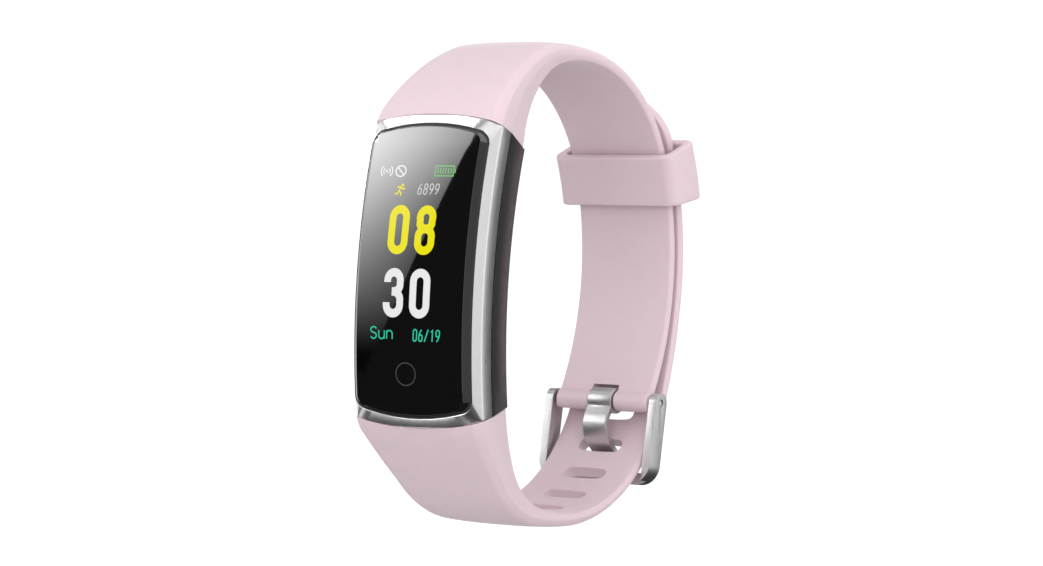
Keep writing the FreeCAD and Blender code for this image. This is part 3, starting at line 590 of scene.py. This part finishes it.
def rod_mesh(name, centre, radius, half, count):
    """A plain rod along X, used to cut other pieces."""
    cy, cz = centre
    turns = [2 * pi * i / count for i in range(count)]
    rings = [[(x, cy + radius * cos(t), cz + radius * sin(t)) for t in turns] for x in (-half, half)]
    mesh = mesh_of(name, *tube_of_rings(rings))
    finish_mesh(mesh)
    return linked(name, mesh)


def carve(obj, tools):
    """Cut tools out of a piece, then remove the tools."""
    for tool in tools:
        change = obj.modifiers.new("cut", "BOOLEAN")
        change.operation, change.object, change.solver = "DIFFERENCE", tool, "EXACT"
    finish_mesh(applied(obj))
    for tool in tools:
        bpy.data.objects.remove(tool)


SLOT_FIRST, SLOT_PITCH, SLOT_COUNT = 25.4, 5.05, 11
SLOT_HALF, SLOT_R, SLOT_SOFT = 3.3, 1.05, 0.15  # half width, end radius and rounding of the rim
CELL_STEPS = 5  # rows of faces in one slot's cell
CELL_COLUMNS = 5  # places of INNER_X, from the middle, that a cell covers
CORE_SHARE = 0.62  # share of a border point's x at which its spoke meets the slot's own line
RIM_SHARES = (0.3, 0.62, 0.85)  # rings between a cell's border and its rim
RIM_TURNS = (0, 25, 50, 75, 90)  # degrees round the rim
TIP_ROUND = 6.5  # length of the lower strap's rounded tip
TIP_STATIONS = (5.8, 5.1, 4.4, 3.7, 3.0, 2.4, 1.8, 1.3, 0.9, 0.55, 0.3, 0.12)
TIP_EDGE, TIP_FADE = 0.62, 1.2  # share of the thickness left at the tip, and over what length


def build_lower():
    zone = SLOT_FIRST - SLOT_PITCH / 2
    zone_end = zone + SLOT_COUNT * SLOT_PITCH
    lengths = even(FIRST_RING, zone, 28)[:-1]
    first = len(lengths) + 1
    last = first + SLOT_COUNT * CELL_STEPS
    lengths += even(zone, zone_end, SLOT_COUNT * CELL_STEPS + 1)
    lengths += even(zone_end, LOWER_LENGTH - TIP_ROUND, 5)[1:]
    rings = [joint_ring(LOWER)] + [strap_ring(LOWER, s) for s in lengths]
    for back in TIP_STATIONS:
        pinch = sqrt(max(0.0, 1 - (1 - back / TIP_ROUND) ** 2))
        swell = STRAP_MIDDLE * mix(TIP_EDGE, 1.0, smooth(back / TIP_FADE))
        rings.append(strap_ring(LOWER, LOWER_LENGTH - back, pinch, swell))
    points, faces = tube_of_rings(rings)
    size = len(rings[0])
    columns = range(1 - CELL_COLUMNS, CELL_COLUMNS)
    inner = [i % size for i in columns]
    outer = [size // 2 + i for i in columns]
    kept = []
    for face in faces:
        in_zone = len(face) == 4 and first <= min(face) // size < last
        used = {v % size for v in face}
        if not (in_zone and (used <= set(inner) or used <= set(outer))):
            kept.append(face)
    for index in range(SLOT_COUNT):
        row = first + index * CELL_STEPS
        centre = SLOT_FIRST + index * SLOT_PITCH
        loops = []
        for across, is_outer in ((inner, False), (outer[::-1], True)):
            edge = [row * size + c for c in across]
            edge += [(row + k) * size + across[-1] for k in range(1, CELL_STEPS + 1)]
            edge += [(row + CELL_STEPS) * size + c for c in reversed(across[:-1])]
            edge += [(row + k) * size + across[0] for k in range(CELL_STEPS - 1, 0, -1)]
            loops.append(slot_rim(points, kept, edge, centre, is_outer))
        join_loops(kept, *loops)
    piece("lower_strap_shown", points, kept, "tracker", "pink_silicone", ["lower_strap"], sharp=50)


def cell_edge():
    """(length offset, x) of a slot cell's border, in the order of its vertices."""
    xs = [-x for x in reversed(INNER_X[1:CELL_COLUMNS])] + list(INNER_X[:CELL_COLUMNS])
    steps = even(-SLOT_PITCH / 2, SLOT_PITCH / 2, CELL_STEPS + 1)
    edge = [(steps[0], x) for x in xs]
    edge += [(s, xs[-1]) for s in steps[1:]]
    edge += [(steps[-1], x) for x in reversed(xs[:-1])]
    edge += [(s, xs[0]) for s in reversed(steps[1:-1])]
    return edge


def slot_rim(points, faces, edge, centre, is_outer):
    """Rings from a cell's border in to the slot's wall; returns the last ring."""
    previous = edge
    reach = SLOT_HALF - SLOT_R
    rims = [(share, SLOT_R + SLOT_SOFT, 0.0) for share in RIM_SHARES]
    for turn in map(radians, RIM_TURNS):
        rims.append((1.0, SLOT_R + SLOT_SOFT * (1 - sin(turn)), SLOT_SOFT * (1 - cos(turn))))
    for share, radius, sunk in rims:
        ring = []
        for s, x in cell_edge():
            core = max(-reach, min(reach, x * CORE_SHARE))
            away = Vector((s, x - core)).normalized()
            s_here = mix(s, away[0] * radius, share)
            x_here = mix(x, core + away[1] * radius, share)
            depth = crown(x_here, centre + s_here) - sunk if is_outer else sunk
            points.append(strap_point(LOWER, centre + s_here, x_here, depth))
            ring.append(len(points) - 1)
        join_loops(faces, previous, ring)
        previous = ring
    return previous


def join_loops(faces, one, other):
    """Faces between two loops of as many points."""
    for i in range(len(one)):
        k = (i + 1) % len(one)
        faces.append((one[i], one[k], other[k], other[i]))


build_upper()
build_lower()


# ---------------------------------------------------------------- keeper

KEEPER_LOW, KEEPER_HIGH = 36.7, 41.1  # radii of the opening's inner and outer face
KEEPER_HALF, KEEPER_WALL = 8.1, 1.25
KEEPER_START, KEEPER_SWEEP = 16.05, 10.7  # degrees round the back's centre
KEEPER_SOFT = 0.34  # rounding of its rims
OPENING_CORNER, OUTSIDE_CORNER = 0.8, 1.6


def rounded_loop(half, low, high, corner):
    """(x, radius) round a rectangle with rounded corners, anticlockwise."""
    loop = []
    for cx, cr, first in ((half - corner, high - corner, 0), (corner - half, high - corner, 90),
                          (corner - half, low + corner, 180), (half - corner, low + corner, 270)):
        for angle in even(first, first + 90, 9):
            loop.append((cx + corner * cos(radians(angle)), cr + corner * sin(radians(angle))))
    return loop


def even_steps(a, b, count=8):
    """Steps between two (offset, angle) pairs, without the ends."""
    return [(mix(a[0], b[0], i / count), mix(a[1], b[1], i / count)) for i in range(1, count)]


def build_keeper():
    wall, soft = KEEPER_WALL, KEEPER_SOFT
    start, end = KEEPER_START, KEEPER_START + KEEPER_SWEEP
    edge = degrees(soft / LAYER_RADIUS)
    turns = [radians(step) for step in even(0, 90, 5)]
    outer_start = [(wall - soft * (1 - sin(t)), start + edge * (1 - cos(t))) for t in turns]
    outer_end = [(wall - soft * (1 - cos(t)), end - edge * (1 - sin(t))) for t in turns]
    inner_end = [(soft * (1 - sin(t)), end - edge * (1 - cos(t))) for t in turns]
    inner_start = [(soft * (1 - cos(t)), start + edge * (1 - sin(t))) for t in turns]
    section = outer_start + even_steps(outer_start[-1], outer_end[0]) + outer_end
    section += inner_end + even_steps(inner_end[-1], inner_start[0]) + inner_start
    inner = rounded_loop(KEEPER_HALF, KEEPER_LOW, KEEPER_HIGH, OPENING_CORNER)
    outer = rounded_loop(KEEPER_HALF + wall, KEEPER_LOW - wall, KEEPER_HIGH + wall, OUTSIDE_CORNER)
    cy, cz = BACK_CENTRE
    rings = []
    for offset, angle in section:
        turn = radians(angle)
        ring = []
        for (in_x, in_r), (out_x, out_r) in zip(inner, outer):
            radius = mix(in_r, out_r, offset / wall)
            ring.append((mix(in_x, out_x, offset / wall), cy + radius * cos(turn), cz + radius * sin(turn)))
        rings.append(ring)
    points, faces = tube_of_rings(rings, closed=True)
    piece("keeper_shown", points, faces, "keeper", "pink_silicone", ["keeper_loop"], sharp=60)


build_keeper()

# ---------------------------------------------------------------- metal parts and case with rounded edges

for node, width, segments in (("buckle_frame", 0.22, 4), ("buckle_prong", 0.14, 3), ("case_body", 0.1, 2),
                              ("back_cover", 0.14, 3), ("sensor_window", 0.12, 3), ("case_screws", 0.05, 2)):
    softened(node, width, segments)


# ---------------------------------------------------------------- clock face

LIFTS = (-0.004, 0.006)  # foot and top of a stroke over the glass
MITRE = 0.6  # least cosine of half a bend, so that sharp bends don't grow spikes
TOP_SHARE = 0.94  # radius of the upper bowl of 3 and 8 as a share of the lower one's
WAIST = 0.53  # height of their waist
SMALL = 0.72  # height of a small letter


def ribbon(path, width, closed=False):
    """Left and right borders of a stroke that follows a path of (x, z)."""
    sides = [[], []]
    count = len(path)
    for i, p in enumerate(path):
        before = path[i - 1] if i or closed else None
        after = path[(i + 1) % count] if i < count - 1 or closed else None
        here = Vector(p)
        heads = []
        if before is not None:
            heads.append((here - Vector(before)).normalized())
        if after is not None:
            heads.append((Vector(after) - here).normalized())
        head = sum(heads, Vector((0, 0))).normalized()
        reach = width / 2 / max(MITRE, head.dot(heads[0]))
        across = Vector((-head[1], head[0])) * reach
        sides[0].append(here + across)
        sides[1].append(here - across)
    return sides


def on_glass(x, z, lift):
    """A point over the flat of the glass, at its arc length z from the middle."""
    radius = CURVE_Y - GLASS_Y
    turn = asin(z / radius)
    return (x, CURVE_Y - (radius + lift) * cos(turn), (radius + lift) * sin(turn))


def fine_path(path, closed, most=0.4):
    """Add points to long sides, so that a stroke follows the curve of the glass."""
    found = []
    for a, b in zip(path, path[1:] + path[:1] if closed else path[1:]):
        count = max(1, int((Vector(b) - Vector(a)).length / most))
        found += [(mix(a[0], b[0], i / count), mix(a[1], b[1], i / count)) for i in range(count)]
    return found if closed else found + [path[-1]]


def strokes(name, paths, width, material):
    """Thin raised strokes on the glass; each path is (points, closed), in millimetres on it."""
    points, faces = [], []
    for path, closed in paths:
        path = fine_path(path, closed)
        sides = ribbon(path, width, closed)
        base = len(points)
        count = len(path)
        for lift in LIFTS:
            for side in sides:
                points += [on_glass(p[0], p[1], lift) for p in side]
        low_l, low_r, high_l, high_r = (base + k * count for k in range(4))
        last = count if closed else count - 1
        for i in range(last):
            k = (i + 1) % count
            faces.append((high_l + i, high_l + k, high_r + k, high_r + i))
            faces.append((low_l + i, low_r + i, low_r + k, low_l + k))
            faces.append((low_l + i, low_l + k, high_l + k, high_l + i))
            faces.append((low_r + i, high_r + i, high_r + k, low_r + k))
        if not closed:
            for i in (0, count - 1):
                faces.append((low_l + i, high_l + i, high_r + i, low_r + i))
    piece(name, points, faces, "tracker", "display_glass", material=material, sharp=30)


def arc(cx, cz, rx, rz, first, last, steps=12):
    return [(cx + rx * cos(radians(a)), cz + rz * sin(radians(a))) for a in even(first, last, steps + 1)]


def glyph(sign, w, h):
    """Centre lines of a character in a box w wide and h high, as (points, closed)."""
    r = w / 2
    top, waist, low = TOP_SHARE * r, WAIST * h, SMALL * h
    if sign == "0":
        return [(arc(r, h - r, r, r, 0, 180) + arc(r, r, r, r, 180, 360), True)]
    if sign == "8":
        upper = arc(r, h - top, top, top, -20, 200) + arc(r, waist + top * 0.9, top, top * 0.9, 200, 340)
        lower = arc(r, waist - r * 0.95, r, r * 0.95, -10, 190) + arc(r, r, r, r, 190, 350)
        return [(upper, True), (lower, True)]
    if sign == "3":
        middle = [(r * 0.75, waist)]
        upper = [(r - top, h - top * 1.25)] + arc(r, h - top, top, top, 180, 0)
        upper += arc(r, waist + top * 0.85, top, top * 0.85, -10, -90, 6) + middle
        lower = middle + arc(r, waist - r * 0.95, r, r * 0.95, 90, 10, 6) + arc(r, r, r, r, 0, -180)
        return [(upper, False), (lower + [(0, r * 1.25)], False)]
    if sign == "6":
        bowl = arc(r, h * 0.56 - r, r, r, 0, 180) + arc(r, r, r, r, 180, 360)
        stem = [(0.0, h * 0.4), (0.08 * w, h * 0.56), (0.3 * w, h * 0.78), (0.72 * w, h)]
        return [(bowl, True), (stem, False)]
    if sign == "9":
        return [([(w - x, h - z) for x, z in line], closed) for line, closed in glyph("6", w, h)]
    if sign == "1":
        return [([(w * 0.15, h * 0.82), (w * 0.62, h), (w * 0.62, 0)], False)]
    if sign == "/":
        return [([(0, -0.04 * h), (w, 1.04 * h)], False)]
    if sign == "S":
        upper = arc(r, h * 0.755, r, h * 0.245, 20, 235)
        lower = arc(r, h * 0.25, r, h * 0.25, 55, -160)
        return [(upper + lower, False)]
    if sign == "u":
        bowl = [(0, low)] + arc(r, r * 0.9, r, r * 0.9, 180, 360) + [(w, low)]
        return [(bowl, False), ([(w, low), (w, 0)], False)]
    arch = [(0, 0)] + arc(r, low - r * 0.9, r, r * 0.9, 180, 0) + [(w, 0)]  # n
    return [(arch, False), ([(0, low), (0, 0)], False)]


def written(text, x, z, w, h, gap, slant=0.0):
    """Paths of a row of characters, from the lower left corner of the first one's centre lines."""
    paths = []
    for index, sign in enumerate(text):
        left = x + index * (w + gap)
        for line, closed in glyph(sign, w, h):
            paths.append(([(left + px + slant * pz, z + pz) for px, pz in line], closed))
    return paths


YELLOW = glow("lit_yellow", (0.85, 0.78, 0.01), 0.95)
WHITE = glow("lit_white", (0.84, 0.84, 0.85), 0.95)
ICON_WHITE = glow("lit_icon_white", (0.9, 0.9, 0.9), 1.0)
DIM_WHITE = glow("lit_dim_white", (0.68, 0.68, 0.69), 0.95)
GREEN = glow("lit_green", (0.2, 0.62, 0.18), 0.95)
TEAL = glow("lit_teal", (0.03, 0.62, 0.38), 0.95)
GREY = glow("faint_ring", (0.09, 0.09, 0.09), 0.8)

strokes("clock_hours", written("08", -3.5, 2.25, 2.06, 5.02, 2.03), 1.02, YELLOW)
strokes("clock_minutes", written("30", -3.6, -5.42, 2.08, 4.98, 1.95), 1.02, WHITE)
strokes("clock_steps", written("6899", -0.2, 9.12, 0.5, 1.28, 0.36, 0.09), 0.125, DIM_WHITE)
strokes("clock_day", written("Sun", -5.85, -8.55, 0.86, 1.42, 0.37), 0.16, TEAL)
strokes("clock_date", written("06/19", 0.66, -8.66, 0.52, 1.38, 0.345, 0.05), 0.16, TEAL)
strokes("touch_ring", [(arc(-0.47, -12.7, 1.48, 1.36, 0, 360 - 360 / 48, 47), True)], 0.12, GREY)
blocked = [(arc(-3.22, 11.95, 0.78, 0.66, 0, 345, 23), True), ([(-3.74, 12.42), (-2.7, 11.48)], False)]
strokes("icon_blocked", blocked, 0.15, ICON_WHITE)
waves = [(arc(-5.4, 11.93, 0.1, 0.09, 0, 330, 11), True)]
for reach in (0.5, 0.9):
    waves += [(arc(-5.4, 11.93, reach, reach * 0.85, -52, 52, 8), False),
              (arc(-5.4, 11.93, reach, reach * 0.85, 128, 232, 8), False)]
strokes("icon_waves", waves, 0.12, ICON_WHITE)
battery = [([(2.05, 11.4), (4.85, 11.4), (4.85, 12.62), (2.05, 12.62)], True),
           ([(5.08, 11.78), (5.08, 12.24)], False)]
battery += [([(2.45 + 0.4 * i, 11.66), (2.45 + 0.4 * i, 12.36)], False) for i in range(6)]
strokes("icon_battery", battery, 0.13, GREEN)
runner = [(arc(-2.62, 10.22, 0.1, 0.1, 0, 330, 11), True),
          ([(-2.85, 9.98), (-3.1, 9.5)], False),
          ([(-3.45, 9.98), (-2.85, 10.0), (-2.55, 9.72), (-2.2, 9.82)], False),
          ([(-3.1, 9.5), (-2.75, 9.25), (-2.8, 8.9)], False),
          ([(-3.1, 9.5), (-3.3, 9.15), (-3.75, 9.18)], False)]
strokes("icon_runner", runner, 0.18, YELLOW)


# ---------------------------------------------------------------- floor, light and camera

CAD_LOW = cad_box[0][2] / MM
FLOOR_GAP, FLOOR_REACH, FLOOR_GLOW = 0.05, 4000, 1.12
UNDER_GAP, UNDER_REACH = 0.02, 90  # the card under the band lies just over its lowest point
LAMP_SIDE = 400
WINDOW_FOOT, WINDOW_HEAD, WINDOW_FAR = -145, 110, 80
WINDOW_GLOW = 11.2


def sheet_of(name, corners, material):
    """A flat sheet from its corners, for staging only."""
    mesh = mesh_of(name, corners, [tuple(range(len(corners)))])
    obj = linked(name, mesh)
    mesh.materials.append(material)
    return obj


def box_of(u, v):
    """Corners of a rectangle between two pairs of coordinates."""
    return [(u[0], v[0]), (u[1], v[0]), (u[1], v[1]), (u[0], v[1])]


def build_floor():
    dull = (0.02, 0.02, 0.02)
    white = shader("floor_white", dull, 0.9, Specular_IOR_Level=0.0)
    emits(white, (1, 1, 1), FLOOR_GLOW)
    mottle(white, noise(white, 20), *shades(dull, 0.004))
    across = (-FLOOR_REACH, FLOOR_REACH)
    floor = sheet_of("floor", [(x, y, CAD_LOW - FLOOR_GAP) for x, y in box_of(across, across)], white)
    floor.visible_glossy = False


def lit(name, strength):
    """A material that only gives light."""
    material = bpy.data.materials.new(name)
    material.use_nodes = True
    tree = material.node_tree
    tree.nodes.clear()
    output = tree.nodes.new("ShaderNodeOutputMaterial")
    emission = tree.nodes.new("ShaderNodeEmission")
    emission.inputs["Strength"].default_value = strength
    tree.links.new(emission.outputs["Emission"], output.inputs["Surface"])
    return material


def reflected_only(obj):
    """A card that shows in reflections alone."""
    obj.visible_camera = obj.visible_diffuse = obj.visible_shadow = False
    obj.visible_transmission = obj.visible_volume_scatter = False


def shade_only(obj):
    """A card that is met by diffuse light alone."""
    obj.visible_camera = obj.visible_glossy = False


def card(name, centre, facing, corners, material):
    """A flat card at a point, facing a direction; corners are (right, up) in its own plane."""
    look = Vector(facing).normalized()
    right = look.cross(Vector((0, 0, 1))).normalized()
    up = right.cross(look)
    middle = Vector(centre)
    reflected_only(sheet_of(name, [tuple(middle + right * u + up * v) for u, v in corners], material))


def window_light(material, centre, right, up):
    """Emission that grows away from the card's curved edge and dies away towards its foot.
    The spans are in metres from the card's centre."""
    tree = material.node_tree
    where = tree.nodes.new("ShaderNodeTexCoord")
    times = tree.nodes.new("ShaderNodeMath")
    times.operation = "MULTIPLY"
    ramps = ((right, "LINEAR", (0.0, 0.06), WINDOW_GLOW), (up, "SMOOTHSTEP", (-0.13, 0.04), 1.0))
    for (direction, kind, span, most), factor in zip(ramps, times.inputs):
        dot = tree.nodes.new("ShaderNodeVectorMath")
        dot.operation = "DOT_PRODUCT"
        dot.inputs[1].default_value = tuple(direction)
        ramp = tree.nodes.new("ShaderNodeMapRange")
        ramp.interpolation_type = kind
        offset = direction.dot(centre) * MM
        for socket, number in zip(("From Min", "From Max", "To Min", "To Max"),
                                  (offset + span[0], offset + span[1], 0.0, most)):
            ramp.inputs[socket].default_value = number
        tree.links.new(where.outputs["Object"], dot.inputs[0])
        tree.links.new(dot.outputs["Value"], ramp.inputs["Value"])
        tree.links.new(ramp.outputs["Result"], factor)
    tree.links.new(times.outputs["Value"], tree.nodes["Emission"].inputs["Strength"])


def area(name, location, power):
    """A square lamp turned to the origin, which reflections don't show."""
    light = bpy.data.lights.new(name, "AREA")
    light.shape, light.size, light.size_y = "RECTANGLE", LAMP_SIDE * MM, LAMP_SIDE * MM
    light.energy, light.spread = power, pi
    obj = linked(name, light)
    obj.location = Vector(location) * MM
    obj.rotation_euler = (-Vector(location)).to_track_quat("-Z", "Y").to_euler()
    obj.visible_camera = obj.visible_glossy = False


def build_light():
    world = bpy.data.worlds.new("studio")
    bpy.context.scene.world = world
    world.use_nodes = True
    background = world.node_tree.nodes["Background"]
    background.inputs["Color"].default_value = (1, 1, 1, 1)
    background.inputs["Strength"].default_value = 1.08
    area("key", (300, -420, 560), 0.6)
    area("side", (700, -60, -40), 0.8)
    area("right_front", (430, -430, 10), 1.1)
    area("front", (60, -650, 20), 1.2)

    # What the glass reflects: a window with a curved edge, and darkness behind it.
    mirror = Vector((-0.59, -0.78, 0.2)).normalized()
    centre = Vector((0, GLASS_Y, 6.0)) + mirror * 300
    right = mirror.cross(Vector((0, 0, 1))).normalized()
    window = lit("window_glow", 1.0)
    window_light(window, centre, right, right.cross(mirror))
    edge = [(4.7 + 0.00098 * (v + 17) ** 2, v) for v in even(WINDOW_FOOT, WINDOW_HEAD, 29)]
    far_side = [(WINDOW_FAR, WINDOW_HEAD), (WINDOW_FAR, WINDOW_FOOT)]
    card("window_card", centre, mirror, edge + far_side, window)
    card("dark_card", Vector((0, GLASS_Y, 0)) + mirror * 430, mirror, box_of((-170, 280), (-260, 330)),
         lit("dark_grey", 0.02))
    # What the metal reflects.
    ground = [(x, y, -260) for x, y in box_of((-900, 900), (900, -900))]
    reflected_only(sheet_of("floor_card", ground, lit("floor_grey", 0.04)))
    front_right = Vector((0.667, -0.745, 0.02)).normalized()
    card("front_card", front_right * 380, front_right, box_of((-110, 110), (-220, 220)),
         lit("front_grey", 0.3))
    card("right_card", (430, 0, 20), (1, 0, 0.05), box_of((-110, 110), (-200, 200)), lit("light_grey", 0.8))
    top_way = Vector((-0.55, 0.35, 0.75)).normalized()
    card("top_card", Vector((0, -28, 17)) + top_way * 300, top_way, box_of((-110, 110), (-95, 110)),
         lit("top_dark", 0.02))
    # What shades the inside and the underside of the band.
    flag = [(-45, y, z) for y, z in box_of((-12, 28), (0, 24))]
    shade_only(sheet_of("left_flag", flag, lit("flag_black", 0.0)))
    across = (-UNDER_REACH, UNDER_REACH)
    under = [(x, y, CAD_LOW + UNDER_GAP) for x, y in box_of(across, across)]
    shade_only(sheet_of("under_card", under, lit("under_grey", 0.85)))
    # And once more what the metal reflects, from behind.
    back_right = Vector((0.402, 0.914, 0.0))
    card("grey_card", back_right * 420, back_right, box_of((-200, 45), (-260, 260)), lit("mid_grey", 0.04))


BEARING, HEIGHT, ROLL = radians(36.22), radians(-2.67), radians(3.82)
DISTANCE, LENS = 400.0, 113.6
AIM_RIGHT, AIM_UP, AIM_BACK = 11.48, -1.45, -25.7  # shift across the view, and along +Y


def build_camera():
    """The camera, from the view's bearing, height above the object and roll."""
    back = Vector((sin(BEARING) * cos(HEIGHT), -cos(BEARING) * cos(HEIGHT), sin(HEIGHT)))
    level = Vector((cos(BEARING), sin(BEARING), 0))
    rise = back.cross(level)
    right = cos(ROLL) * level + sin(ROLL) * rise
    up = cos(ROLL) * rise - sin(ROLL) * level
    camera = linked("camera", bpy.data.cameras.new("camera"))
    spot = back * DISTANCE + right * AIM_RIGHT + up * AIM_UP + Vector((0, AIM_BACK, 0))
    turn = Matrix((right, up, back)).transposed().to_4x4()
    camera.matrix_world = Matrix.Translation(spot * MM) @ turn
    camera.data.sensor_width, camera.data.lens = 36.0, LENS
    camera.data.clip_start, camera.data.clip_end = 0.01, 100.0
    bpy.context.scene.camera = camera


build_floor()
build_light()
build_camera()
bpy.context.scene.view_settings.view_transform = "Standard"
bpy.context.view_layer.update()
